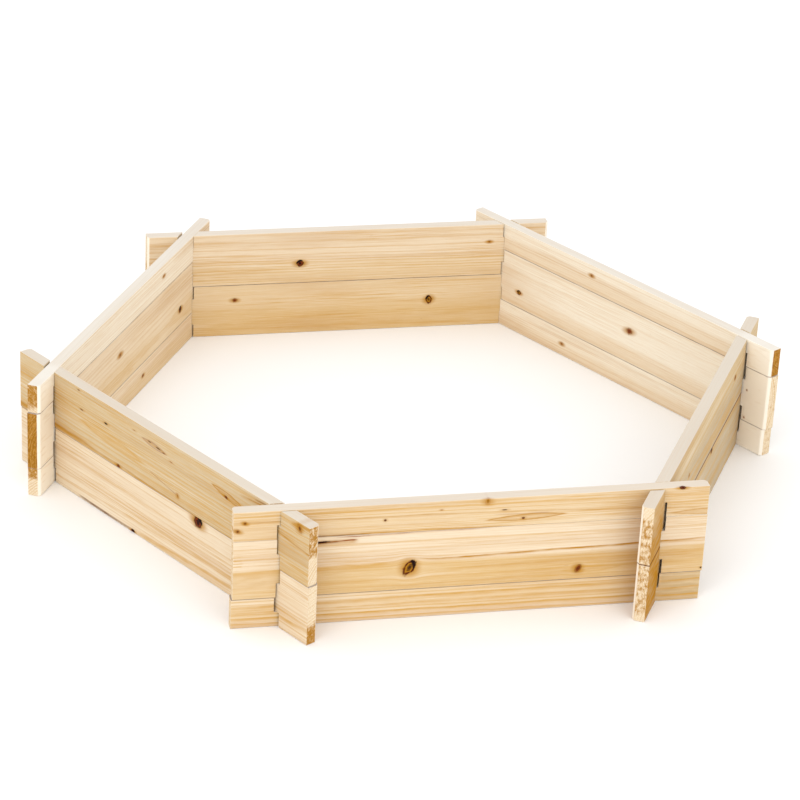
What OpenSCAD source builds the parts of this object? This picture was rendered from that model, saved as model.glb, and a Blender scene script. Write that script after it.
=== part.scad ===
// Six-sided sandbox of notched softwood boards that lock together at the corners.
//
// Origin: centre of the six-sided outline, on the ground. +Z up, the front wall along X on the -Y side.
// Walls are counted anticlockwise from the front, 0 to 5. Each wall crosses its two neighbours at
// 60 degrees, and its boards run on past both crossings as tails.
// Even walls stack a half board, a full board and a half board. Odd walls stack two full boards.
// The courses of neighbouring walls are half a board out of step, so every notch locks over the next board.

/* [Frame] */
// Length of one wall between the two crossings, along the middle of the boards
wall_l = 585; // [350:5:900]
// Length of the tail past a crossing, measured the same way
tail_l = 76; // [50:1:140]

/* [Boards] */
// Thickness of every board
board_t = 21; // [14:0.5:30]
// Height of a full board, half the height of the box
board_h = 100; // [70:1:150]
// Chamfer on the inner upright edges of the board ends
end_chamfer = 4.5; // [1:0.5:6]
// Easing on the long edges
long_ease = 0.5; // [0.4:0.1:2]

/* [Corner joints] */
// Gap between a notch and the inner face of the board in it
inner_gap = 1.1; // [0.4:0.1:2]
// Gap between a notch and the outer face of the board in it
outer_gap = 3; // [0.4:0.1:4]
// Most that a board has settled along its wall, inside those gaps
slip = 1; // [0:0.1:1.2]

/* [Colours] */
// Planed spruce
spruce = "burlywood"; // [burlywood, wheat, tan]

/* [Hidden] */
corner_angle = 60;
wall_offset = wall_l * cos(30);
board_l = wall_l + 2 * tail_l;
half_h = board_h / 2;
notch_d = board_h / 4;
notch_w = board_t + inner_gap + outer_gap;
// Longer than a notch's slanting way through a board
notch_l = 4 * board_t;
over = 1;
// Share of the slip that each board has settled, wall by wall, the lowest course first
settled = [[-1, 1, 0.3], [1, -1], [1, -1, 0.4], [-1, 1], [0.2, 1, -1], [1, -1]];

// A board from above: its ends are chamfered on the inner side, +Y
module outline() {
    x = board_l / 2;
    y = board_t / 2;
    polygon([
        [-x, -y], [x, -y], [x, y - end_chamfer], [x - end_chamfer, y],
        [-x + end_chamfer, y], [-x, y - end_chamfer]
    ]);
}

// Cross-section of a board of height h, with its four long edges eased
module section(h) {
    x = board_t / 2;
    y = h / 2;
    polygon([
        [-x + long_ease, -y], [x - long_ease, -y], [x, -y + long_ease], [x, y - long_ease],
        [x - long_ease, y], [-x + long_ease, y], [-x, y - long_ease], [-x, -y + long_ease]
    ]);
}

// Plain board along X, standing on Z = 0, before its notches are cut
module blank(h) {
    intersection() {
        linear_extrude(h) outline();
        translate([-board_l / 2 - over, 0, h / 2])
            rotate([90, 0, 90])
                linear_extrude(board_l + 2 * over) section(h);
    }
}

// Space cut for the neighbour that crosses at the +X end, as deep as a notch, from the height z up
module notch(z, depth) {
    translate([wall_l / 2, 0, z])
        rotate([0, 0, corner_angle])
            translate([-notch_l / 2, -board_t / 2 - outer_gap, 0])
                cube([notch_l, notch_w, depth]);
}

// The same notch at both ends of a board
module notch_pair(z, depth) {
    notch(z, depth);
    mirror([1, 0, 0]) notch(z, depth);
}

// Board of height h, notched in its lower edge, its upper edge or both
module board(h, lower, upper) {
    difference() {
        blank(h);
        if (lower) notch_pair(-over, notch_d + over);
        if (upper) notch_pair(h - notch_d, notch_d + over);
    }
}

// Puts a board in its wall: wall counts the sides, course counts the boards upwards, z is its underside
module in_wall(wall, course, z) {
    color(spruce)
        rotate([0, 0, corner_angle * wall])
            translate([slip * settled[wall][course], -wall_offset, z])
                children();
}

// Lowest board of an even wall, half a board high
module bottom_board(wall) {
    in_wall(wall, 0, 0) board(half_h, false, true);
}

// Full board in the middle of an even wall
module middle_board(wall) {
    in_wall(wall, 1, half_h) board(board_h, true, true);
}

// Highest board of an even wall, half a board high
module top_board(wall) {
    in_wall(wall, 2, half_h + board_h) board(half_h, true, false);
}

// Lower of the two full boards in an odd wall
module lower_board(wall) {
    in_wall(wall, 0, 0) board(board_h, true, true);
}

// Upper of the two full boards in an odd wall
module upper_board(wall) {
    in_wall(wall, 1, board_h) board(board_h, true, true);
}

bottom_board(0);  // front_bottom_board
middle_board(0);  // front_middle_board
top_board(0);  // front_top_board
lower_board(1);  // front_right_lower_board
upper_board(1);  // front_right_upper_board
bottom_board(2);  // back_right_bottom_board
middle_board(2);  // back_right_middle_board
top_board(2);  // back_right_top_board
lower_board(3);  // back_lower_board
upper_board(3);  // back_upper_board
bottom_board(4);  // back_left_bottom_board
middle_board(4);  // back_left_middle_board
top_board(4);  // back_left_top_board
lower_board(5);  // front_left_lower_board
upper_board(5);  // front_left_upper_board
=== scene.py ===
import bmesh
import bpy
import math
from mathutils import Matrix, Vector


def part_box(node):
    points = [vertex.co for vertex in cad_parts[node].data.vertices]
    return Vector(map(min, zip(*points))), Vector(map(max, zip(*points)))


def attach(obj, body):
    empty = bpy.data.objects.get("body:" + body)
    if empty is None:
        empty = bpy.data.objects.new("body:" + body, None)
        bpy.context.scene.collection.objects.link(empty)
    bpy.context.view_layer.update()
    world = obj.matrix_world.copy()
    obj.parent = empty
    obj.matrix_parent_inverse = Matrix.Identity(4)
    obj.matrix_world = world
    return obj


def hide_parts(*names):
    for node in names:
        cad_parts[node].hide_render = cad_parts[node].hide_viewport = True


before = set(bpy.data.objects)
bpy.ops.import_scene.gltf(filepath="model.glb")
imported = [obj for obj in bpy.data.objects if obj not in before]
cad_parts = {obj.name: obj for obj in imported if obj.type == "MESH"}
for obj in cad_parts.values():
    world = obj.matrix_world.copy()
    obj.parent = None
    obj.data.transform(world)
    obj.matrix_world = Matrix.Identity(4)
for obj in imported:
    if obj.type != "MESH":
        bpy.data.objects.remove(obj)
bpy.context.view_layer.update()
scene = bpy.context.scene
print("frame loaded:", len(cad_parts), "boards")

viewSet = {
    "azimuth": -12.888,     # degrees, 0 looks along +Y
    "elevation": 26.772,
    "roll": 2.991,
    "distance": 4.870,      # metres from the target
    "target": (-0.0190, -0.0545, 0.1353),
    "lens": 132.8,
}


def addCamera(v):
    turn, rise = math.radians(v["azimuth"]), math.radians(v["elevation"])
    back = Vector((math.sin(turn) * math.cos(rise), -math.cos(turn) * math.cos(rise),
        math.sin(rise)))
    cam = bpy.data.objects.new("camera", bpy.data.cameras.new("camera"))
    facing = (-back).to_track_quat("-Z", "Y").to_matrix().to_4x4()
    place = Matrix.Translation(Vector(v["target"]) + back * v["distance"])
    cam.matrix_world = place @ facing @ Matrix.Rotation(math.radians(v["roll"]), 4, "Z")
    cam.data.lens = v["lens"]
    cam.data.sensor_width = 36.0
    cam.data.clip_end = 100.0
    scene.collection.objects.link(cam)
    scene.camera = cam


addCamera(viewSet)

studio = {
    "floorSize": 30.0,
    "floorDrop": 0.0003,    # keeps the floor clear of the undersides
    "floorTone": (0.93, 0.93, 0.93, 1.0),
    "floorRough": 0.9,
    "floorShine": 0.1,
    "sky": 1.12,            # even white light from all round
    "key": {"place": (-2.6, -3.4, 4.2), "size": 3.0, "watts": 55.0},
    "fill": {"place": (1.5, -4.4, 2.2), "size": 3.0, "watts": 28.0},
    "aim": (0.0, 0.0, 0.08),
}


def addLamp(name, lamp, aim):
    data = bpy.data.lights.new(name, "AREA")
    data.shape = "DISK"
    data.size = lamp["size"]
    data.energy = lamp["watts"]
    obj = bpy.data.objects.new(name, data)
    obj.location = lamp["place"]
    obj.rotation_euler = (Vector(aim) - Vector(lamp["place"])).to_track_quat("-Z", "Y").to_euler()
    scene.collection.objects.link(obj)


def addStudio(s):
    half = s["floorSize"] / 2
    mesh = bpy.data.meshes.new("floor")
    corners = [(-half, -half), (half, -half), (half, half), (-half, half)]
    mesh.from_pydata([(x, y, -s["floorDrop"]) for x, y in corners], [], [(0, 1, 2, 3)])
    floor = bpy.data.objects.new("floor", mesh)
    scene.collection.objects.link(floor)
    paint = bpy.data.materials.new("floorPaint")
    paint.use_nodes = True
    shader = paint.node_tree.nodes["Principled BSDF"]
    shader.inputs["Base Color"].default_value = s["floorTone"]
    shader.inputs["Roughness"].default_value = s["floorRough"]
    shader.inputs["Specular IOR Level"].default_value = s["floorShine"]
    mesh.materials.append(paint)
    world = bpy.data.worlds.new("studio")
    world.use_nodes = True
    glow = world.node_tree.nodes["Background"]
    glow.inputs["Color"].default_value = (1.0, 1.0, 1.0, 1.0)
    glow.inputs["Strength"].default_value = s["sky"]
    scene.world = world
    addLamp("keyLight", s["key"], s["aim"])
    addLamp("fillLight", s["fill"], s["aim"])
    scene.view_settings.view_transform = "Standard"


addStudio(studio)
print("camera and studio ready")

palette = {
    "chalk": "fbf4e6",
    "milk": "efe5d2",
    "cream": "e5d3b8",
    "straw": "ddc5a0",
    "biscuit": "d6b888",
    "sand": "cdb894",
    "tan": "bfa57c",
    # stone: tone of the front right boards, partly the wood's own grey and partly painted shade of
    # that side
    "stone": "bdad92",
    "ash": "d6d0c8",        # the greyer cream of the upper edges
    "honey": "c6953f",
    "amber": "b27b10",
    "ember": "a45c0a",
    "cork": "8c5c1c",
    "rust": "863a08",
    "bark": "561e04",
    "umber": "2e0c02",
    "soot": "130301",
    "blush": "d8bfa0",
}


def tone(name):
    code = palette[name]
    parts = [int(code[i:i + 2], 16) / 255 for i in (0, 2, 4)]
    return tuple(((p + 0.055) / 1.055) ** 2.4 if p > 0.04045 else p / 12.92 for p in parts) + (1.0,)


def put(tree, kind, inputs=None, **settings):
    node = tree.nodes.new(kind)
    node.location = (190 * (len(tree.nodes) % 24), -260 * (len(tree.nodes) // 24))
    for key, value in settings.items():
        setattr(node, key, value)
    for key, value in (inputs or {}).items():
        if isinstance(value, bpy.types.NodeSocket):
            tree.links.new(value, node.inputs[key])
        else:
            node.inputs[key].default_value = value
    return node


def calc(tree, operation, *values, clamp=False):
    settings = {"operation": operation, "use_clamp": clamp}
    return put(tree, "ShaderNodeMath", dict(enumerate(values)), **settings).outputs[0]


def add(tree, a, b):
    return calc(tree, "ADD", a, b)


def sub(tree, a, b):
    return calc(tree, "SUBTRACT", a, b)


def mul(tree, a, b, clamp=False):
    return calc(tree, "MULTIPLY", a, b, clamp=clamp)


def div(tree, a, b):
    return calc(tree, "DIVIDE", a, b)


def split(tree, vector):
    return put(tree, "ShaderNodeSeparateXYZ", {0: vector}).outputs


def vec(tree, operation, *values):
    node = put(tree, "ShaderNodeVectorMath", dict(enumerate(values)), operation=operation)
    return node.outputs["Value" if operation in ("LENGTH", "DOT_PRODUCT") else "Vector"]


def spun(tree, vector, angle, axis):
    sockets = {"Vector": vector, "Angle": angle}
    return put(tree, "ShaderNodeVectorRotate", sockets, rotation_type=axis + "_AXIS").outputs[0]


def scaled(tree, vector, scale):
    return put(tree, "ShaderNodeVectorMath", {0: vector, "Scale": scale},
        operation="SCALE").outputs[0]


def ease(tree, value, low, high, toLow=0.0, toHigh=1.0):
    sockets = {"Value": value, "From Min": low, "From Max": high, "To Min": toLow, "To Max": toHigh}
    return put(tree, "ShaderNodeMapRange", sockets,
        interpolation_type="SMOOTHSTEP").outputs["Result"]


def mixTone(tree, factor, a, b, mode="MIX"):
    return put(tree, "ShaderNodeMix", {0: factor, 6: a, 7: b}, data_type="RGBA",
        blend_type=mode).outputs[2]


def noise(tree, point, stretch, seed, detail=2.0, rough=0.5):
    moved = vec(tree, "MULTIPLY", point, stretch)
    sockets = {"Vector": moved, "W": seed, "Scale": 1.0, "Detail": detail, "Roughness": rough}
    return put(tree, "ShaderNodeTexNoise", sockets, noise_dimensions="4D").outputs["Fac"]


def bell(tree, value):
    return calc(tree, "EXPONENT", mul(tree, mul(tree, value, value), -1.0))


def newGroup(name, takes, gives):
    group = bpy.data.node_groups.new(name, "ShaderNodeTree")
    for label, kind in takes:
        group.interface.new_socket(label, in_out="INPUT", socket_type="NodeSocket" + kind)
    for label, kind in gives:
        group.interface.new_socket(label, in_out="OUTPUT", socket_type="NodeSocket" + kind)
    return group, put(group, "NodeGroupInput").outputs, put(group, "NodeGroupOutput").inputs


def useGroup(tree, group, inputs):
    return put(tree, "ShaderNodeGroup", inputs, node_tree=group).outputs


# patterns are laid out in the board's own millimetres: x along it, y through it, z up from its
# underside; a stretch is in noise steps per millimetre along x, y and z
knotSet = {
    "wobble": (0.2, 0.05, 0.2),
    "wobbleDepth": 0.7,     # radii of the knot
    "bendReach": (0.36, 1.0, 0.70),     # smaller numbers reach farther
    "haloReach": (0.30, 1.0, 0.55),
    "mottle": (1.6, 1.0, 1.6),          # noise steps per radius
    "heartRings": 15.0,     # radians per radius
    "coreWidth": 0.42,      # radii, as the next two
    "rimAt": 0.95,
    "rimWidth": 0.20,
    "charSide": (0.45, 0.0, 0.85),      # where the char is heaviest
}


def makeKnotBend(s):
    # where one knot is, and how the grain runs round it
    takes = [("Point", "Vector"), ("Grain", "Vector"), ("Place", "Vector"), ("Size", "Vector"),
        ("Lean", "Float"), ("Push", "Float")]
    gives = [("Grain", "Vector"), ("Ring", "Float"), ("Local", "Vector")]
    g, take, give = newGroup("knotBend", takes, gives)
    away = vec(g, "SUBTRACT", take["Point"], take["Place"])
    lean = mul(g, take["Lean"], -1.0)
    turned = spun(g, away, lean, "Y")
    local = vec(g, "DIVIDE", turned, take["Size"])
    wobble = noise(g, away, s["wobble"], 3.1)
    ring = add(g, vec(g, "LENGTH", local), mul(g, sub(g, wobble, 0.5), s["wobbleDepth"]))
    g.links.new(ring, give["Ring"])
    g.links.new(local, give["Local"])
    level = vec(g, "MULTIPLY", vec(g, "DIVIDE", away, take["Size"]), s["bendReach"])
    reach = calc(g, "EXPONENT", mul(g, vec(g, "DOT_PRODUCT", level, level), -1.0))
    height = split(g, away)["Z"]
    shift = mul(g, mul(g, height, reach), take["Push"])
    lift = put(g, "ShaderNodeCombineXYZ", {"Z": shift}).outputs[0]
    moved = vec(g, "SUBTRACT", take["Grain"], lift)
    g.links.new(moved, give["Grain"])
    return g


ringSet = {
    "drift": (0.0035, 0.02, 0.02),
    "fine": (0.02, 0.16, 0.16),
    "fineDepth": 1.6,       # millimetres
    "uneven": (0.05, 0.0, 0.0),
    "unevenDepth": 3.0,     # rings
    "broad": (0.0022, 0.055, 0.0),
    "lateStart": 0.25,      # shares of a ring: pale wood, then darkening, then a sharp stop
    "lateStop": 0.90,
    "lateCurve": 1.8,
    "faintest": 0.15,
}


def makeRings(s):
    # growth rings round a pith that lies outside the board
    takes = [("Grain", "Vector"), ("Pith", "Vector"), ("Gap", "Float"), ("Taper", "Float"),
        ("Wander", "Float"), ("Seed", "Float")]
    g, take, give = newGroup("growthRings", takes, [("Late", "Float"), ("Broad", "Float")])
    grain, seed = take["Grain"], take["Seed"]
    drifted = vec(g, "MULTIPLY", grain, s["drift"])
    drift = {"Vector": drifted, "W": seed, "Scale": 1.0, "Detail": 2.0}
    slow = put(g, "ShaderNodeTexNoise", drift, noise_dimensions="4D").outputs["Color"]
    sway = vec(g, "MULTIPLY", vec(g, "SUBTRACT", slow, (0.5, 0.5, 0.5)), (0.0, 1.0, 1.0))
    sway = scaled(g, sway, take["Wander"])
    fromPith = vec(g, "SUBTRACT", vec(g, "ADD", grain, sway), take["Pith"])
    flat = vec(g, "MULTIPLY", fromPith, (0.0, 1.0, 1.0))
    fine = mul(g, sub(g, noise(g, grain, s["fine"], seed), 0.5), s["fineDepth"])
    along = split(g, grain)["X"]
    radius = add(g, add(g, vec(g, "LENGTH", flat), mul(g, along, take["Taper"])), fine)
    spot = put(g, "ShaderNodeCombineXYZ", {"X": radius}).outputs[0]
    uneven = mul(g, noise(g, spot, s["uneven"], seed), s["unevenDepth"])
    phase = add(g, div(g, radius, take["Gap"]), uneven)
    share = calc(g, "FRACT", phase)
    rise = calc(g, "POWER", ease(g, share, s["lateStart"], s["lateStop"]), s["lateCurve"])
    late = mul(g, rise, ease(g, share, s["lateStop"], 1.0, 1.0, 0.0))
    number = add(g, calc(g, "FLOOR", phase), seed)
    odd = put(g, "ShaderNodeTexWhiteNoise", {"W": number}, noise_dimensions="1D").outputs["Value"]
    g.links.new(mul(g, late, ease(g, odd, 0.0, 1.0, s["faintest"], 1.0)), give["Late"])
    smear = put(g, "ShaderNodeCombineXYZ", {"X": along, "Y": radius}).outputs[0]
    g.links.new(noise(g, smear, s["broad"], seed, 3.0), give["Broad"])
    return g


sawnSet = {
    "patch": (0.0, 0.22, 0.13),
    "grit": (0.0, 0.85, 0.60),
    "torn": (0.0, 1.1, 0.8),
    "waver": (0.0, 0.08, 0.05),
    "waverDepth": 24.0,     # millimetres
    "ringCover": 0.6,
    "fade": 5.0,            # millimetres over which the stain starts and stops
    "deepCover": 0.6,
    "deepRing": 0.5,
}


def makeSawnEnd(s):
    # a sawn end: rings as arcs, torn fibres, and a resin-dark speckle over part of its height
    takes = [("Point", "Vector"), ("Late", "Float"), ("Tone -", "Color"), ("Tone +", "Color"),
        ("Span -", "Vector"), ("Span +", "Vector"), ("Seed", "Float")]
    g, take, give = newGroup("sawnEnd", takes, [("Colour", "Color"), ("Torn", "Float")])
    spot = split(g, take["Point"])
    plus = calc(g, "GREATER_THAN", spot["X"], 0.0)
    dark = mixTone(g, plus, take["Tone -"], take["Tone +"])
    span = put(g, "ShaderNodeMix", {0: plus, 4: take["Span -"], 5: take["Span +"]},
        data_type="VECTOR").outputs[1]
    span = split(g, span)           # from, to, how much of it
    seed = add(g, take["Seed"], mul(g, plus, 5.0))
    patch = noise(g, take["Point"], s["patch"], seed)
    grit = noise(g, take["Point"], s["grit"], add(g, seed, 2.0), 5.0, 0.68)
    torn = noise(g, take["Point"], s["torn"], seed, 3.0, 0.7)
    waver = sub(g, noise(g, take["Point"], s["waver"], seed), 0.5)
    level = add(g, spot["Z"], mul(g, waver, s["waverDepth"]))
    above = ease(g, sub(g, level, span["X"]), -s["fade"], s["fade"])
    below = ease(g, sub(g, level, span["Y"]), s["fade"], -s["fade"])
    inside = mul(g, above, below)
    speck = add(g, mul(g, grit, 0.5), mul(g, patch, 0.5))
    speck = add(g, speck, mul(g, sub(g, span["Z"], 0.5), 0.4))
    stain = mul(g, ease(g, speck, 0.42, 0.60), inside)
    colour = mixTone(g, ease(g, torn, 0.38, 0.62), tone("milk"), tone("biscuit"))
    colour = mixTone(g, mul(g, take["Late"], s["ringCover"], clamp=True), colour, tone("honey"))
    colour = mixTone(g, mul(g, stain, ease(g, torn, 0.30, 0.55, 0.55, 1.0)), colour, dark)
    deep = ease(g, add(g, mul(g, grit, 0.5), mul(g, patch, 0.5)), 0.42, 0.58)
    deep = add(g, mul(g, deep, s["deepCover"]), mul(g, take["Late"], s["deepRing"]))
    deep = mul(g, deep, mul(g, stain, span["Z"]), clamp=True)
    g.links.new(mixTone(g, deep, colour, mixTone(g, 0.45, dark, tone("bark"))), give["Colour"])
    g.links.new(torn, give["Torn"])
    return g


faceSet = {
    "soft": (0.004, 0.03, 0.03),
    "ripple": (0.0026, 0.30, 0.30),
    "gather": (0.0028, 0.04, 0.04),
    "fibre": (0.03, 1.5, 1.5),
    "duct": (0.07, 0.8, 0.8),
    "pale": 0.40,           # how much each layer shows
    "rich": 0.30,
    "fibreDark": 0.26,
    "fibrePale": 0.22,
    "sway": 16.0,           # millimetres that the change of tone wanders
}


def makeFace(s):
    # the planed faces: broad bands, growth rings, thin lines, fibres and resin flecks
    takes = [("Grain", "Vector"), ("Late", "Float"), ("Broad", "Float"), ("Low tone", "Color"),
        ("High tone", "Color"), ("Tone edge", "Float"), ("Tone blur", "Float"),
        ("Line tone", "Color"), ("Line depth", "Float"), ("Fine depth", "Float"),
        ("Fleck", "Float"), ("Seed", "Float")]
    g, take, give = newGroup("planedFace", takes, [("Colour", "Color"), ("Fibre", "Float")])
    grain, seed, line = take["Grain"], take["Seed"], take["Line tone"]
    soft = mul(g, sub(g, noise(g, grain, s["soft"], seed), 0.5), s["sway"])
    height = split(g, grain)["Z"]
    level = sub(g, add(g, height, soft), take["Tone edge"])
    upper = ease(g, div(g, level, take["Tone blur"]), -1.0, 1.0)
    base = mixTone(g, upper, take["Low tone"], take["High tone"])
    base = mixTone(g, ease(g, take["Broad"], 0.46, 0.25, 0.0, s["pale"]), base, tone("milk"))
    base = mixTone(g, ease(g, take["Broad"], 0.45, 0.72, 0.0, s["rich"]), base, line, "MULTIPLY")
    base = mixTone(g, mul(g, take["Late"], take["Line depth"], clamp=True), base, line)
    # thin sharp lines, gathered in some places and missing in others
    ripple = noise(g, grain, s["ripple"], add(g, seed, 3.0), 3.0)
    ripple = calc(g, "ABSOLUTE", sub(g, ripple, 0.5))
    where = ease(g, noise(g, grain, s["gather"], add(g, seed, 9.0)), 0.40, 0.62, 0.25, 1.0)
    thin = mul(g, ease(g, ripple, 0.055, 0.0), mul(g, where, take["Fine depth"]), clamp=True)
    base = mixTone(g, thin, base, line)
    fibre = noise(g, grain, s["fibre"], seed, 4.0, 0.62)
    base = mixTone(g, ease(g, fibre, 0.45, 0.75, 0.0, s["fibreDark"]), base, line)
    base = mixTone(g, ease(g, fibre, 0.5, 0.3, 0.0, s["fibrePale"]), base, tone("milk"))
    duct = noise(g, grain, s["duct"], add(g, seed, 7.0))
    duct = mul(g, ease(g, duct, 0.70, 0.78), take["Fleck"], clamp=True)
    g.links.new(mixTone(g, duct, base, tone("rust")), give["Colour"])
    g.links.new(fibre, give["Fibre"])
    return g


edgeSet = {
    "highlightBreakup": (0.05, 0.4, 0.4),
    "breaks": (0.02, 0.0, 0.0),
    "chamferHighlight": 0.85,        # how strongly the end chamfers are painted pale: a painted highlight
    "upper": 0.70,          # how grey the upper and lower edges are
    "notch": 0.93,          # strength of the painted shade on the notch walls
    # the painted highlight along the edges: how strong it is, and how far it reaches
    "edgeHighlightCover": 0.7,
    "edgeHighlightReach": 1.3,       # millimetres from the edge
    "seamReach": 1.3,
    "rough": 0.64,
    "sawnRough": 0.2,
}


def makeEdges(s):
    # which way the surface faces: sawn end, end chamfers with a painted highlight, upper or lower
    # edge, a painted highlight along the edges, and painted shade on the notch walls and in the
    # seams
    takes = [("Colour", "Color"), ("Point", "Vector"), ("Normal", "Vector"), ("Late", "Float"),
        ("Fibre", "Float"), ("Half size", "Vector"), ("Seams", "Vector"), ("End", "Color"),
        ("Torn", "Float"), ("Seed", "Float")]
    gives = [("Colour", "Color"), ("Roughness", "Float"), ("Relief", "Float")]
    g, take, give = newGroup("boardEdges", takes, gives)
    seed = take["Seed"]
    spot = split(g, take["Point"])
    faces = split(g, vec(g, "ABSOLUTE", take["Normal"]))
    size = split(g, take["Half size"])
    dx = sub(g, size["X"], calc(g, "ABSOLUTE", spot["X"]))
    dy = sub(g, size["Y"], calc(g, "ABSOLUTE", spot["Y"]))
    dz = sub(g, size["Z"], calc(g, "ABSOLUTE", sub(g, spot["Z"], size["Z"])))
    down = sub(g, mul(g, size["Z"], 2.0), spot["Z"])
    sawn = ease(g, faces["X"], 0.80, 0.95)
    # painted highlight: the end chamfers are painted pale
    chamferHighlight = mul(g, ease(g, faces["X"], 0.45, 0.62), ease(g, faces["X"], 0.90, 0.78))
    colour = mixTone(g, mul(g, chamferHighlight, s["chamferHighlight"]), take["Colour"], tone("chalk"))
    colour = mixTone(g, ease(g, faces["Z"], 0.80, 0.95, 0.0, s["upper"]), colour, tone("ash"))
    colour = mixTone(g, sawn, colour, take["End"])
    # painted shade on the walls of the notches, which only ever see shade
    notched = mul(g, ease(g, faces["X"], 0.55, 0.75), ease(g, dx, 12.0, 25.0))
    notched = mul(g, notched, ease(g, down, 1.0, 9.0, 0.0, s["notch"]))
    colour = mixTone(g, notched, colour, tone("umber"))
    # distance to the nearest edge: the middle one of the three distances to the faces
    middle = calc(g, "MAXIMUM", calc(g, "MINIMUM", dx, dy),
        calc(g, "MINIMUM", calc(g, "MAXIMUM", dx, dy), dz))
    # painted highlight along every edge, paler towards it and broken up by noise
    edgeHighlight = ease(g, middle, s["edgeHighlightReach"], 0.1, 0.0, s["edgeHighlightCover"])
    edgeHighlight = mul(g, edgeHighlight, noise(g, take["Point"], s["highlightBreakup"], seed))
    colour = mixTone(g, edgeHighlight, colour, tone("milk"))
    # painted shade along the lower and upper edges, where the boards meet
    seam = split(g, take["Seams"])
    lowWide = mul(g, calc(g, "MAXIMUM", seam["X"], 1.0), s["seamReach"])
    highWide = mul(g, calc(g, "MAXIMUM", seam["Y"], 1.0), s["seamReach"])
    lowSeam = mul(g, ease(g, spot["Z"], lowWide, 0.2), seam["X"])
    highSeam = mul(g, ease(g, down, highWide, 0.2), seam["Y"])
    broken = ease(g, noise(g, take["Point"], s["breaks"], seed, 3.0), 0.35, 0.6, 0.55, 1.0)
    seamShade = mul(g, calc(g, "MAXIMUM", lowSeam, highSeam), broken, clamp=True)
    g.links.new(mixTone(g, seamShade, colour, tone("bark")), give["Colour"])
    rough = sub(g, s["rough"], mul(g, take["Late"], 0.12))
    rough = add(g, rough, mul(g, sawn, s["sawnRough"]))
    g.links.new(add(g, rough, mul(g, take["Fibre"], 0.06)), give["Roughness"])
    plane = mul(g, add(g, take["Late"], take["Fibre"]), 0.05)
    rasp = mul(g, take["Torn"], 0.45)
    mixed = put(g, "ShaderNodeMix", {0: sawn, 2: plane, 3: rasp}, data_type="FLOAT")
    g.links.new(mixed.outputs[0], give["Relief"])
    return g


streakSet = {
    "waver": (0.012, 0.0, 0.0),
    "waverDepth": 5.0,      # millimetres
    "vary": (0.03, 0.0, 0.15),
}


def makeStreak(s):
    # one strong late-wood line: sharp above, fading below
    takes = [("Colour", "Color"), ("Grain", "Vector"), ("From", "Vector"), ("To", "Vector"),
        ("Above", "Float"), ("Below", "Float"), ("Tone", "Color"), ("Strength", "Float")]
    g, take, give = newGroup("streakLine", takes, [("Colour", "Color")])
    p = split(g, take["Grain"])
    a = split(g, take["From"])
    b = split(g, take["To"])
    t = div(g, sub(g, p["X"], a["X"]), sub(g, b["X"], a["X"]))
    line = add(g, a["Z"], mul(g, t, sub(g, b["Z"], a["Z"])))
    waver = sub(g, noise(g, take["Grain"], s["waver"], 1.7, 3.0), 0.5)
    d = sub(g, p["Z"], add(g, line, mul(g, waver, s["waverDepth"])))
    over = div(g, calc(g, "MAXIMUM", d, 0.0), take["Above"])
    under = div(g, calc(g, "MAXIMUM", mul(g, d, -1.0), 0.0), take["Below"])
    line = bell(g, add(g, over, under))
    ends = mul(g, ease(g, t, -0.05, 0.12), ease(g, t, 1.05, 0.85))
    vary = ease(g, noise(g, take["Grain"], s["vary"], 4.2, 2.0), 0.25, 0.7, 0.45, 1.0)
    amount = mul(g, mul(g, line, ends), mul(g, vary, take["Strength"]), clamp=True)
    g.links.new(mixTone(g, amount, take["Colour"], take["Tone"]), give["Colour"])
    return g


eyeSet = {
    "ragged": (0.05, 0.0, 0.3),
    "raggedDepth": 0.5,     # shares of the eye's size, as the next four
    "lineAt": 1.0,
    "lineWidth": 0.24,
    "innerAt": 0.45,
    "innerWidth": 0.12,
    "innerCover": 0.35,
    "fill": 0.25,
}


def makeEye(s):
    # long pointed eye in the grain, where a face runs close along one ring
    takes = [("Colour", "Color"), ("Point", "Vector"), ("Place", "Vector"), ("Size", "Vector"),
        ("Lean", "Float"), ("Tone", "Color"), ("Strength", "Float")]
    g, take, give = newGroup("grainEye", takes, [("Colour", "Color")])
    away = vec(g, "SUBTRACT", take["Point"], take["Place"])
    turned = spun(g, away, take["Lean"], "Y")
    part = split(g, vec(g, "DIVIDE", turned, take["Size"]))
    shape = add(g, mul(g, part["X"], part["X"]), calc(g, "ABSOLUTE", part["Z"]))
    ragged = sub(g, noise(g, away, s["ragged"], 2.2), 0.5)
    shape = add(g, shape, mul(g, ragged, s["raggedDepth"]))
    line = bell(g, div(g, sub(g, shape, s["lineAt"]), s["lineWidth"]))
    inner = bell(g, div(g, sub(g, shape, s["innerAt"]), s["innerWidth"]))
    inside = ease(g, shape, 1.1, 0.8, 0.0, s["fill"])
    amount = add(g, add(g, line, mul(g, inner, s["innerCover"])), inside)
    amount = mul(g, amount, take["Strength"], clamp=True)
    g.links.new(mixTone(g, amount, take["Colour"], take["Tone"]), give["Colour"])
    return g


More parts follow.
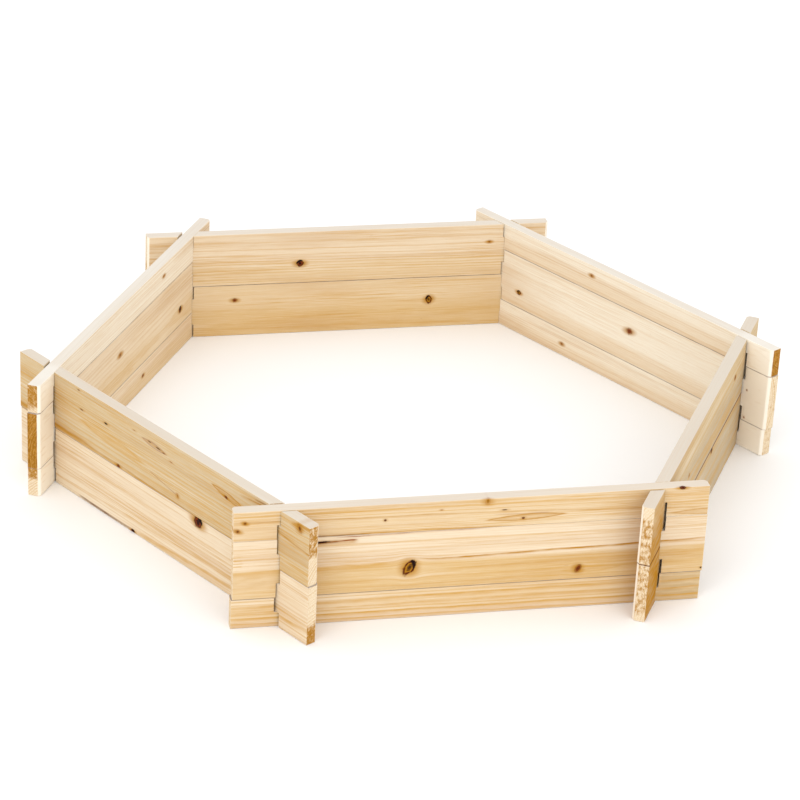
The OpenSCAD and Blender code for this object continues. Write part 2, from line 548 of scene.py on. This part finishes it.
def makeKnotFace(s):
    # the knot itself: stained halo, bark ring, a heart with its own rings, and a charred side
    takes = [("Colour", "Color"), ("Relief", "Float"), ("Ring", "Float"), ("Local", "Vector"),
        ("Heart", "Color"), ("Bark", "Color"), ("Rim", "Float"), ("Halo", "Float"),
        ("Fill", "Float"), ("Char", "Float"), ("Core", "Float"), ("Firm", "Float")]
    g, take, give = newGroup("knotFace", takes, [("Colour", "Color"), ("Relief", "Float")])
    ring, local = take["Ring"], take["Local"]
    stretched = vec(g, "MULTIPLY", local, s["haloReach"])
    around = vec(g, "LENGTH", stretched)
    stain = mul(g, ease(g, around, 1.0, 0.25), take["Halo"], clamp=True)
    colour = mixTone(g, stain, take["Colour"], tone("amber"))
    mottled = noise(g, local, s["mottle"], 6.3, 3.0, 0.6)
    wave = calc(g, "SINE", add(g, mul(g, ring, s["heartRings"]), mul(g, mottled, 4.0)))
    heart = mixTone(g, ease(g, add(g, wave, mottled), 0.0, 1.5, 0.0, 0.7), take["Heart"],
        take["Bark"])
    inside = mul(g, ease(g, ring, 1.08, take["Firm"]), take["Fill"], clamp=True)
    core = mul(g, bell(g, div(g, ring, s["coreWidth"])), take["Core"], clamp=True)
    heart = mixTone(g, core, heart, tone("umber"))
    colour = mixTone(g, inside, colour, heart)
    fromRim = div(g, sub(g, ring, s["rimAt"]), s["rimWidth"])
    rim = mul(g, bell(g, fromRim), take["Rim"])
    rim = mul(g, rim, ease(g, mottled, 0.3, 0.6, 0.35, 1.0), clamp=True)
    colour = mixTone(g, rim, colour, take["Bark"])
    side = vec(g, "DOT_PRODUCT", local, s["charSide"])
    burnt = add(g, calc(g, "ABSOLUTE", side), mul(g, add(g, side, mottled), 0.5))
    burnt = mul(g, ease(g, burnt, 0.75, 1.15), ease(g, ring, 1.35, 1.05))
    colour = mixTone(g, mul(g, burnt, take["Char"], clamp=True), colour, tone("soot"))
    g.links.new(colour, give["Colour"])
    down = mul(g, add(g, mul(g, rim, 0.3), mul(g, inside, 0.06)), -1.0)
    g.links.new(add(g, take["Relief"], down), give["Relief"])
    return g


markSet = {
    "ragged": (0.25, 0.1, 0.6),
    "raggedDepth": 0.9,     # shares of the mark's size
    "stain": 0.35,
}


def makeMark(s):
    # pin knots and short resin dashes, too small to bend the grain
    takes = [("Colour", "Color"), ("Point", "Vector"), ("Place", "Vector"), ("Size", "Vector"),
        ("Lean", "Float"), ("Tone", "Color"), ("Strength", "Float")]
    g, take, give = newGroup("smallMark", takes, [("Colour", "Color")])
    away = vec(g, "SUBTRACT", take["Point"], take["Place"])
    turned = spun(g, away, take["Lean"], "Y")
    far = vec(g, "LENGTH", vec(g, "DIVIDE", turned, take["Size"]))
    ragged = sub(g, noise(g, away, s["ragged"], 5.5), 0.5)
    far = add(g, far, mul(g, ragged, s["raggedDepth"]))
    stain = mixTone(g, ease(g, far, 2.6, 0.9, 0.0, s["stain"]), take["Colour"], tone("amber"))
    amount = mul(g, ease(g, far, 1.15, 0.6), take["Strength"], clamp=True)
    g.links.new(mixTone(g, amount, stain, take["Tone"]), give["Colour"])
    return g


spruceGroups = {
    "bend": makeKnotBend(knotSet),
    "rings": makeRings(ringSet),
    "sawn": makeSawnEnd(sawnSet),
    "face": makeFace(faceSet),
    "edges": makeEdges(edgeSet),
    "streak": makeStreak(streakSet),
    "eye": makeEye(eyeSet),
    "knot": makeKnotFace(knotSet),
    "mark": makeMark(markSet),
}

# rim, halo, fill, char and core are how strongly each part shows; firm is how near the rim the
# heart starts to fade; push is how far the grain bends
knotKinds = {
    "tight": dict(heart="ember", bark="bark", rim=0.25, halo=0.80, fill=0.90, push=0.6, char=0.0,
        core=0.85, firm=0.15),
    "red": dict(heart="rust", bark="bark", rim=0.45, halo=0.75, fill=0.95, push=0.6, char=0.1,
        core=0.60, firm=0.50),
    "ringed": dict(heart="amber", bark="bark", rim=1.50, halo=0.90, fill=0.95, push=0.7, char=0.95,
        core=1.10, firm=0.88),
    "dead": dict(heart="rust", bark="umber", rim=0.90, halo=0.90, fill=1.00, push=0.7, char=1.2,
        core=1.70, firm=0.80),
    "soft": dict(heart="amber", bark="rust", rim=0.20, halo=0.55, fill=0.70, push=0.4, char=0.0,
        core=0.50, firm=0.30),
}
surface = {
    "shine": 0.1,
    "bump": 0.6,
    "bumpDepth": 0.001,     # metres
    "knotDepth": 4000.0,    # millimetres, enough to come out on both faces
    "markDepth": 1000.0,
}
mm = 1000.0                 # millimetres in a metre


def knotShape(knot):
    # two more numbers, if given, are where in the thickness the knot is and how deep it goes
    x, z, wide, high, lean, kind, *rest = knot
    y, deep = rest or (0.0, surface["knotDepth"])
    return (x, y, z), (wide / 2, deep / 2, high / 2), math.radians(lean), knotKinds[kind]


def spruce(name, board, turn, middle, half):
    mat = bpy.data.materials.new(name + "Spruce")
    mat.use_nodes = True
    tree = mat.node_tree
    shader = tree.nodes["Principled BSDF"]
    coords = put(tree, "ShaderNodeTexCoord").outputs
    spin = Matrix.Rotation(-turn, 3, "Z")
    shift = -(spin @ Vector((middle.x, middle.y, middle.z - half.z))) * mm
    intoBoard = {"Vector": coords["Object"], "Location": shift, "Rotation": (0.0, 0.0, -turn),
        "Scale": (mm, mm, mm)}
    point = put(tree, "ShaderNodeMapping", intoBoard, vector_type="POINT").outputs[0]
    normal = spun(tree, coords["Normal"], -turn, "Z")
    knots = [knotShape(knot) for knot in board["knots"]]
    grain, bends = point, []
    for place, size, lean, look in knots:
        bent = useGroup(tree, spruceGroups["bend"], {"Point": point, "Grain": grain, "Place": place,
            "Size": size, "Lean": lean, "Push": look["push"]})
        grain = bent["Grain"]
        bends.append(bent)
    seed = float(board["seed"])
    ring = useGroup(tree, spruceGroups["rings"], {"Grain": grain,
        "Pith": (0.0,) + tuple(board["pith"]), "Gap": board["ringGap"], "Taper": board["taper"],
        "Wander": board["wander"], "Seed": seed})
    (minusTone, *minusSpan), (plusTone, *plusSpan) = board["ends"]
    sawn = useGroup(tree, spruceGroups["sawn"], {"Point": point, "Late": ring["Late"],
        "Tone -": tone(minusTone), "Tone +": tone(plusTone), "Span -": minusSpan,
        "Span +": plusSpan, "Seed": seed})
    low, high, edge, blur = board["tones"]
    face = useGroup(tree, spruceGroups["face"], {"Grain": grain, "Late": ring["Late"],
        "Broad": ring["Broad"], "Low tone": tone(low), "High tone": tone(high), "Tone edge": edge,
        "Tone blur": blur, "Line tone": tone(board["lineTone"]), "Line depth": board["lineDepth"],
        "Fine depth": board["fine"], "Fleck": board["fleck"], "Seed": seed})
    colour = face["Colour"]
    for x0, z0, x1, z1, above, below, shade, strength in board["streaks"]:
        colour = useGroup(tree, spruceGroups["streak"], {"Colour": colour, "Grain": grain,
            "From": (x0, 0.0, z0), "To": (x1, 0.0, z1), "Above": above, "Below": below,
            "Tone": tone(shade), "Strength": strength})["Colour"]
    spots = [("eye", values) for values in board["eyes"]]
    spots += [("mark", values) for values in board["marks"]]
    for kind, (x, z, long, tall, lean, shade, strength) in spots:
        size = (long / 2, surface["markDepth"], tall / 2)
        colour = useGroup(tree, spruceGroups[kind], {"Colour": colour, "Point": point,
            "Place": (x, 0.0, z), "Size": size, "Lean": math.radians(lean), "Tone": tone(shade),
            "Strength": strength})["Colour"]
    edged = useGroup(tree, spruceGroups["edges"], {"Colour": colour, "Point": point,
        "Normal": normal, "Late": ring["Late"], "Fibre": face["Fibre"], "Half size": half * mm,
        "Seams": tuple(board["seams"]) + (0.0,), "End": sawn["Colour"], "Torn": sawn["Torn"],
        "Seed": seed})
    colour, relief = edged["Colour"], edged["Relief"]
    for (place, size, lean, look), bent in zip(knots, bends):
        out = useGroup(tree, spruceGroups["knot"], {"Colour": colour, "Relief": relief,
            "Ring": bent["Ring"], "Local": bent["Local"], "Heart": tone(look["heart"]),
            "Bark": tone(look["bark"]), "Rim": look["rim"], "Halo": look["halo"],
            "Fill": look["fill"], "Char": look["char"], "Core": look["core"], "Firm": look["firm"]})
        colour, relief = out["Colour"], out["Relief"]
    bump = put(tree, "ShaderNodeBump", {"Height": relief, "Strength": surface["bump"],
        "Distance": surface["bumpDepth"]}).outputs[0]
    tree.links.new(colour, shader.inputs["Base Color"])
    tree.links.new(edged["Roughness"], shader.inputs["Roughness"])
    tree.links.new(bump, shader.inputs["Normal"])
    shader.inputs["Specular IOR Level"].default_value = surface["shine"]
    return mat


print("spruce groups ready")

plain = {
    "taper": 0.004,         # millimetres that the rings widen per millimetre of length
    "wander": 5.0,          # millimetres that they sway
    "lineTone": "honey",
    "lineDepth": 0.50,      # how strongly the rings show
    "fine": 0.55,           # and the thin lines
    "fleck": 0.25,          # and the resin flecks
    # stain of the sawn ends at -x and +x: tone, from z, to z, how much
    "ends": (("honey", 0, 200, 0.4), ("honey", 0, 200, 0.4)),
    "knots": [],
    "streaks": [],
    "eyes": [],
    "marks": [],
}
# wall: number of the wall, counted counter-clockwise from the front
# pith: y and z of the middle of the rings, and ringGap: how far apart they are
# tones: lower tone, upper tone, height of the change, its softness
# seams: painted shade along the lower and the upper edge, where the boards meet
# knots: x, z, width, height, lean, kind, and if not right through: y, depth
# streaks: x, z, to x, z, fade above, fade below, tone, strength
# eyes and marks: x, z, length, height, lean, tone, strength
boards = {
    "frontBottomBoard": dict(node="front_bottom_board", wall=0, seams=(0.0, 0.55), seed=11,
        pith=(70, -70), ringGap=6.0, tones=("blush", "straw", 11, 7), lineDepth=0.85, fine=0.4,
        wander=3.0,
        streaks=[(-390, 36, 390, 41, 1.2, 5, "honey", 0.7),
            (-390, 26, 390, 27, 1.5, 4, "honey", 0.6), (-390, 16, 390, 14, 1.0, 4, "honey", 0.8),
            (292, 25, 450, 25, 60, 60, "tan", 0.95), (292, 11, 450, 9, 1.0, 3, "honey", 0.9),
            (292, 23, 450, 25, 0.8, 3, "honey", 0.8), (292, 36, 450, 40, 1.0, 3, "honey", 0.8)]),
    "frontMiddleBoard": dict(node="front_middle_board", wall=0, seams=(0.3, 0.0), seed=12,
        pith=(60, -90), ringGap=5.0, tones=("biscuit", "cream", 47, 4), lineDepth=0.45, fine=0.45,
        wander=3.0,
        knots=[(-98, 38, 14, 25, 30, "ringed"), (168, 18, 9, 15, 30, "red")],
        marks=[(366, 6, 4, 3, 0, "umber", 0.9), (-237, 91.4, 34, 3.4, 2, "umber", 1.0)],
        streaks=[(-390, 46, -110, 50, 1.2, 7, "honey", 0.8),
            (-115, 50, 390, 60, 1.0, 2.6, "amber", 1.05),
            (-252, 89.5, -178, 92, 3.5, 5, "amber", 0.8),
            (-252, 90.5, -208, 92, 1.3, 2.0, "bark", 1.7),
            (-225, 91.5, -180, 93.5, 0.8, 1.2, "rust", 1.3),
            (-215, 99, 30, 100, 0.6, 1.4, "rust", 0.8),
            (-375, 58, -354, 58, 0.6, 0.8, "honey", 0.9),
            (-375, 63, -352, 63, 0.6, 0.8, "honey", 0.9),
            (-375, 68, -354, 68, 0.6, 0.8, "honey", 0.9),
            (-375, 74, -356, 74, 0.6, 0.8, "honey", 0.7), (-60, 33, 390, 38, 0.8, 3, "honey", 0.5),
            (-390, 20, 390, 22, 0.8, 3, "honey", 0.5), (-450, 36, -295, 36, 10, 60, "straw", 0.7)],
        eyes=[(190, 17, 90, 10, 2, "honey", 0.35)]),
    "frontTopBoard": dict(node="front_top_board", wall=0, seams=(0.0, 0.0), seed=13, pith=(80, -60),
        ringGap=4.6, tones=("straw", "straw", 38, 8), lineDepth=0.5, fine=0.6, wander=3.0,
        knots=[(-351, 31, 6, 6, 20, "tight"), (-362, 18, 8, 7, 20, "tight"),
            (19, 45, 9, 12, 10, "soft", -11, 14), (325, 50, 10, 7, 0, "dead", -11, 13)],
        marks=[(-138, 23, 5, 4, 0, "bark", 0.9), (46, 29, 10, 2, 0, "umber", 0.9),
            (76, 13, 6, 4, 0, "bark", 0.9), (-52, 35, 5, 2, 0, "rust", 0.6),
            (19, 47, 4, 4, 0, "bark", 0.8)],
        streaks=[(-390, 33, 20, 27.5, 0.7, 2.5, "amber", 0.65),
            (10, 27.5, 390, 14, 0.7, 2.0, "amber", 0.5),
            (-250, 2.0, -160, 1.6, 1.6, 1.2, "bark", 0.9),
            (-190, 3, 60, 1.0, 1.4, 1.2, "amber", 0.8), (30, 22, 120, 20, 0.6, 1.0, "rust", 0.5),
            (-390, 43, 390, 40, 0.6, 2.0, "honey", 0.6)],
        eyes=[(80, 14.5, 118, 9, 2, "amber", 0.75), (388, 6.5, 160, 10, 0, "amber", 0.6)]),
    # front right boards: the broad amber streak over the tail at -x is painted shade beside the
    # tail's slot
    "frontRightLowerBoard": dict(node="front_right_lower_board", wall=1, seams=(0.0, 1.6), seed=21,
        pith=(100, 30), ringGap=4.0, tones=("stone", "stone", 60, 20),
        knots=[(50, 95, 9, 8, 0, "dead"), (-210, 30, 8, 7, 0, "red")],
        streaks=[(-450, 50, -285, 50, 120, 120, "amber", 1.15),
            (-285, 96, 330, 96, 5, 9, "honey", 0.5), (-100, 30, 330, 34, 2, 8, "honey", 0.5)],
        ends=(("amber", 14, 110, 0.47), ("honey", 0, 60, 0.5))),
    "frontRightUpperBoard": dict(node="front_right_upper_board", wall=1, seams=(1.6, 0.0), seed=22,
        pith=(-90, 20), ringGap=4.0, tones=("stone", "sand", 60, 30),
        knots=[(-121, 35, 7, 6, 0, "tight"), (200, 62, 10, 9, 10, "red")],
        streaks=[(-450, 30, -285, 35, 60, 120, "amber", 1.0),
            (-285, 20, 330, 12, 2, 5, "honey", 0.5), (-285, 62, 330, 70, 1, 3, "honey", 0.6)],
        ends=(("amber", -10, 78, 0.5), ("honey", 30, 90, 0.5))),
    # the broad chalk streak over the tail at -x of each back right board is painted light,
    # brightening the tail where the corner shades it
    "backRightBottomBoard": dict(node="back_right_bottom_board", wall=2, seams=(0.0, 0.6), seed=31,
        pith=(20, 120), ringGap=3.5, tones=("cream", "milk", 25, 10), lineDepth=0.3, fine=0.25,
        knots=[(120, 22, 8, 7, 0, "tight")],
        streaks=[(-450, 25, -285, 25, 90, 90, "chalk", 1.7)],
        ends=(("amber", 0, 60, 0.3), ("honey", 0, 60, 0.4))),
    "backRightMiddleBoard": dict(node="back_right_middle_board", wall=2, seams=(0.6, 0.6), seed=32,
        pith=(110, 50), ringGap=4.5, tones=("cream", "milk", 25, 10), lineDepth=0.3, fine=0.25,
        knots=[(-40, 60, 14, 12, 10, "red"), (240, 30, 9, 8, 0, "ringed")],
        marks=[(-321, 58, 3, 3, 0, "rust", 0.8), (-321, 6, 3, 3, 0, "rust", 0.8)],
        streaks=[(-450, 50, -285, 50, 120, 120, "chalk", 1.7)],
        ends=(("amber", 0, 110, 0.25), ("honey", 0, 110, 0.4))),
    "backRightTopBoard": dict(node="back_right_top_board", wall=2, seams=(0.6, 0.0), seed=33,
        pith=(60, -60), ringGap=4.0, tones=("cream", "milk", 25, 10), lineDepth=0.3, fine=0.3,
        knots=[(60, 30, 8, 7, 0, "tight")],
        streaks=[(-450, 25, -285, 25, 90, 90, "chalk", 1.4)],
        ends=(("amber", -10, 70, 1.25), ("honey", 0, 60, 0.4))),
    "backLowerBoard": dict(node="back_lower_board", wall=3, seams=(0.0, 0.6), seed=41,
        pith=(100, 60), ringGap=4.4, tones=("biscuit", "straw", 55, 20),
        knots=[(-150, 55, 10, 15, 15, "ringed"), (210, 70, 9, 8, 0, "red")],
        ends=(("honey", 0, 60, 0.5), ("amber", 50, 110, 0.5))),
    "backUpperBoard": dict(node="back_upper_board", wall=3, seams=(0.6, 0.0), seed=42,
        pith=(-80, 130), ringGap=4.0, tones=("straw", "cream", 40, 12),
        knots=[(90, 38, 12, 12, 0, "dead"), (-260, 66, 7, 6, 0, "tight")],
        ends=(("amber", 20, 80, 0.5), ("honey", 0, 50, 0.5))),
    # the broad chalk streak over the tail at +x of each back left board is painted light,
    # brightening the tail where the corner shades it
    "backLeftBottomBoard": dict(node="back_left_bottom_board", wall=4, seams=(0.0, 0.6), seed=51,
        pith=(60, -50), ringGap=4.0, tones=("straw", "cream", 25, 10), lineDepth=0.3, fine=0.3,
        knots=[(-60, 25, 8, 7, 0, "red")],
        streaks=[(285, 25, 450, 25, 90, 90, "chalk", 1.5)],
        ends=(("honey", 0, 60, 0.4), ("amber", 32, 60, 0.7))),
    "backLeftMiddleBoard": dict(node="back_left_middle_board", wall=4, seams=(0.6, 0.6), seed=52,
        pith=(90, 20), ringGap=4.0, tones=("straw", "cream", 45, 20), lineDepth=0.3, fine=0.3,
        knots=[(40, 60, 12, 10, 0, "tight"), (-230, 30, 10, 11, 0, "dead")],
        streaks=[(285, 50, 450, 50, 120, 120, "chalk", 1.5)],
        ends=(("honey", 0, 110, 0.4), ("amber", -10, 120, 1.3))),
    "backLeftTopBoard": dict(node="back_left_top_board", wall=4, seams=(0.6, 0.0), seed=53,
        pith=(70, 120), ringGap=4.0, tones=("milk", "milk", 25, 10), lineDepth=0.3, fine=0.3,
        knots=[(-150, 28, 8, 7, 0, "tight")],
        streaks=[(285, 25, 450, 25, 90, 90, "chalk", 1.3)],
        ends=(("honey", 0, 60, 0.4), ("amber", 10, 60, 0.75))),
    "frontLeftLowerBoard": dict(node="front_left_lower_board", wall=5, seams=(0.0, 0.45), seed=61,
        pith=(60, -120), ringGap=5.4, tones=("cream", "cream", 20, 10), lineDepth=0.5, fine=0.5,
        wander=4.0,
        knots=[(102, 92.6, 18, 19, 10, "dead"), (-64, 2, 9, 6, 0, "dead")],
        streaks=[(-210, 5, -66, 3, 1.2, 3, "bark", 0.9), (-66, 6, 400, 26, 2.0, 6, "honey", 0.8),
            (-380, 14, 390, 40, 0.8, 4, "honey", 0.5), (-300, 70, 390, 60, 0.8, 5, "honey", 0.35)],
        ends=(("honey", 0, 60, 0.4), ("amber", -10, 32, 0.75))),
    "frontLeftUpperBoard": dict(node="front_left_upper_board", wall=5, seams=(0.45, 0.0), seed=62,
        pith=(80, -40), ringGap=4.6, tones=("sand", "sand", 40, 15), lineDepth=0.6, fine=0.8,
        fleck=0.5,
        knots=[(-101, 3, 9, 6, 0, "red"), (52, 16, 5, 9, -30, "soft"), (171, 66, 9, 5, 10, "red"),
            (345, 90, 9, 14, -25, "tight")],
        marks=[(-207, 95, 7, 2, 0, "bark", 0.8), (-199, 63, 10, 2.4, 0, "bark", 0.8),
            (-134, 65, 11, 3.4, 0, "soot", 0.95), (2, 78, 13, 2.4, -4, "umber", 0.9),
            (-20, 80.5, 9, 2, -4, "umber", 0.8), (16, 75.5, 8, 2, -4, "bark", 0.8),
            (35, 68, 9, 1.8, -4, "rust", 0.7), (-60, 84, 8, 1.6, 0, "rust", 0.6)],
        streaks=[(-420, 8, -170, 7, 3.5, 5, "amber", 1.0), (-200, 7, 95, 1, 1.2, 3, "amber", 0.7),
            (325, 92, 395, 100, 2.0, 4.0, "amber", 1.1), (-20, 30, 52, 16, 0.7, 1.0, "rust", 0.6),
            (-300, 45, 200, 40, 0.8, 3, "honey", 0.6), (270, 67, 390, 52, 1.0, 2.5, "amber", 0.9),
            (205, 86, 300, 92, 1.5, 2.0, "amber", 1.0), (240, 93, 300, 97, 1.0, 1.5, "cork", 1.0)],
        eyes=[(178, 69, 80, 10, -8, "amber", 0.8), (-8, 78, 60, 8, -4, "rust", 0.45),
            (-120, 40, 160, 16, -3, "honey", 0.5)],
        ends=(("honey", 30, 70, 0.4), ("amber", 50, 110, 0.6))),
}

cut = {
    "soften": 0.00028,      # rounding of every edge
    "along": 0.009,         # spacing of the mesh lines
    "across": 0.002,
    "through": 0.003,
    "nearKnot": 0.0015,
    "knotRim": 0.00035,     # depth of the groove round a knot
    "knotDip": 0.00012,
    "edgeAngle": 20,        # degrees; sharper edges are rounded
    "smoothAngle": 38,
    "flatAngle": 0.5,
    "weld": 1e-6,
    "leastGap": 0.0008,
    "smallKnot": 0.003,     # knots with less reach than this get no lines of their own
    "knotReach": 1.6,       # in radii of the knot
    "knotFade": 4,
}
relief = {
    "Wave Depth": 0.00022,
    "Wave Length": 0.09,
    "Fibre Depth": 0.00008,
    "Seam Depth": 0.00006,
    "Saw Depth": 0.00025,
}
reliefSteps = {             # noise steps per metre along x, y and z
    "fibre": (25.0, 240.0, 240.0),
    "seam": (11.0, 3.0, 3.0),
    "saw": (40.0, 420.0, 260.0),
}


def spread(low, high, step):
    count = max(1, round((high - low) / step))
    return [low + (high - low) * i / count for i in range(1, count)]


def meshLines(board, half):
    along = spread(-half.x, half.x, cut["along"])
    for (x, y, z), size, lean, look in map(knotShape, board["knots"]):
        reach = cut["knotReach"] * max(size[0], size[2]) / mm
        if reach > cut["smallKnot"]:
            along += [x / mm + d for d in spread(-reach, reach, cut["nearKnot"])]
    kept = []
    for x in sorted(along):
        if not kept or x - kept[-1] > cut["leastGap"]:
            kept.append(x)
    return kept, spread(-half.y, half.y, cut["through"]), spread(0.0, 2 * half.z, cut["across"])


def cutBoard(name, board, toBoard, half):
    bm = bmesh.new()
    bm.from_mesh(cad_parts[board["node"]].data)
    bmesh.ops.remove_doubles(bm, verts=bm.verts, dist=cut["weld"])
    bmesh.ops.transform(bm, matrix=toBoard, verts=bm.verts)
    flat = math.radians(cut["flatAngle"])
    bmesh.ops.dissolve_limit(bm, angle_limit=flat, verts=bm.verts, edges=bm.edges)
    edgeAngle = math.radians(cut["edgeAngle"])
    sharp = [e for e in bm.edges if e.is_manifold and e.calc_face_angle() > edgeAngle]
    bmesh.ops.bevel(bm, geom=sharp, offset=cut["soften"], segments=2, profile=0.5, affect="EDGES")
    for axis, places in zip(range(3), meshLines(board, half)):
        normal = Vector([1.0 if i == axis else 0.0 for i in range(3)])
        for place in places:
            everything = bm.verts[:] + bm.edges[:] + bm.faces[:]
            bmesh.ops.bisect_plane(bm, geom=everything, dist=cut["weld"], plane_co=normal * place,
                plane_no=normal)
    rise = bm.verts.layers.float.new("knotRise")
    for place, size, lean, look in map(knotShape, board["knots"]):
        reach = cut["knotFade"] * max(size[0], size[2])
        for v in bm.verts:
            dx, dy, dz = v.co * mm - Vector(place)
            if abs(dx) < reach and abs(dz) < reach:
                u = (math.cos(lean) * dx - math.sin(lean) * dz) / size[0]
                w = (math.sin(lean) * dx + math.cos(lean) * dz) / size[2]
                d = math.hypot(u, w, dy / size[1])
                rim = cut["knotRim"] * math.exp(-((d - 0.95) / 0.25) ** 2)
                v[rise] += rim + cut["knotDip"] * math.exp(-d * d)
    bmesh.ops.transform(bm, matrix=toBoard.inverted(), verts=bm.verts)
    mesh = bpy.data.meshes.new(name)
    bm.to_mesh(mesh)
    bm.free()
    return mesh


def reliefTree():
    tree = bpy.data.node_groups.new("boardRelief", "GeometryNodeTree")
    sockets = tree.interface
    sockets.new_socket("Geometry", in_out="INPUT", socket_type="NodeSocketGeometry")
    for label in ["Turn", "Seed", *relief]:
        sockets.new_socket(label, in_out="INPUT", socket_type="NodeSocketFloat")
    sockets.new_socket("Material", in_out="INPUT", socket_type="NodeSocketMaterial")
    sockets.new_socket("Geometry", in_out="OUTPUT", socket_type="NodeSocketGeometry")
    take = put(tree, "NodeGroupInput").outputs
    seed = take["Seed"]
    back = mul(tree, take["Turn"], -1.0)
    place = spun(tree, put(tree, "GeometryNodeInputPosition").outputs[0], back, "Z")
    normal = put(tree, "GeometryNodeInputNormal").outputs[0]
    side = split(tree, spun(tree, normal, back, "Z"))
    perWave = div(tree, 1.0, take["Wave Length"])
    waves = scaled(tree, vec(tree, "MULTIPLY", place, (0.25, 1.0, 1.6)), perWave)
    wave = mul(tree, noise(tree, waves, (1.0, 1.0, 1.0), seed), take["Wave Depth"])
    fibre = mul(tree, noise(tree, place, reliefSteps["fibre"], seed), take["Fibre Depth"])
    seam = ease(tree, noise(tree, place, reliefSteps["seam"], seed, 3.0), 0.4, 0.65)
    seam = mul(tree, seam, take["Seam Depth"])
    seam = mul(tree, seam, ease(tree, calc(tree, "ABSOLUTE", side["Z"]), 0.5, 0.9))
    saw = mul(tree, noise(tree, place, reliefSteps["saw"], seed, 3.0, 0.7), take["Saw Depth"])
    saw = mul(tree, saw, ease(tree, calc(tree, "ABSOLUTE", side["X"]), 0.8, 0.95))
    knot = put(tree, "GeometryNodeInputNamedAttribute", {"Name": "knotRise"}, data_type="FLOAT")
    rough = add(tree, seam, saw)
    depth = add(tree, add(tree, wave, fibre), add(tree, rough, knot.outputs[0]))
    offset = scaled(tree, normal, mul(tree, depth, -1.0))
    pushed = {"Geometry": take["Geometry"], "Offset": offset}
    moved = put(tree, "GeometryNodeSetPosition", pushed).outputs[0]
    real = put(tree, "GeometryNodeRealizeInstances", {"Geometry": moved}).outputs[0]
    dressed = {"Geometry": real, "Material": take["Material"]}
    done = put(tree, "GeometryNodeSetMaterial", dressed).outputs[0]
    put(tree, "NodeGroupOutput", {0: done})
    return tree


def socketId(tree, label):
    sockets = [i for i in tree.interface.items_tree if i.name == label and i.in_out == "INPUT"]
    return sockets[0].identifier


def makeBoard(name, board, tree):
    low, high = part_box(board["node"])
    middle = (low + high) / 2
    turn = math.radians(60 * board["wall"])
    toBoard = Matrix.Rotation(-turn, 4, "Z") @ Matrix.Translation((-middle.x, -middle.y, -low.z))
    local = [toBoard @ v.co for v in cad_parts[board["node"]].data.vertices]
    half = Vector((max(p.x for p in local), max(p.y for p in local), (high.z - low.z) / 2))
    mesh = cutBoard(name, board, toBoard, half)
    mat = spruce(name, board, turn, middle, half)
    raw = bpy.data.objects.new(name, mesh)
    scene.collection.objects.link(raw)
    mod = raw.modifiers.new("relief", "NODES")
    mod.node_group = tree
    values = dict(relief, Turn=turn, Seed=float(board["seed"]), Material=mat)
    for label, value in values.items():
        mod[socketId(tree, label)] = value
    depsgraph = bpy.context.evaluated_depsgraph_get()
    done = bpy.data.meshes.new_from_object(raw.evaluated_get(depsgraph))
    raw.modifiers.clear()
    raw.data = done
    done.name = name
    bpy.data.meshes.remove(mesh)
    done.polygons.foreach_set("use_smooth", [True] * len(done.polygons))
    done.set_sharp_from_angle(angle=math.radians(cut["smoothAngle"]))
    done.attributes.remove(done.attributes["knotRise"])
    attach(raw, "root")
    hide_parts(board["node"])
    return len(done.polygons)


tree = reliefTree()
total = 0
for name, own in boards.items():
    total += makeBoard(name, {**plain, **own}, tree)
print("boards cut:", len(boards), "with", total, "faces")
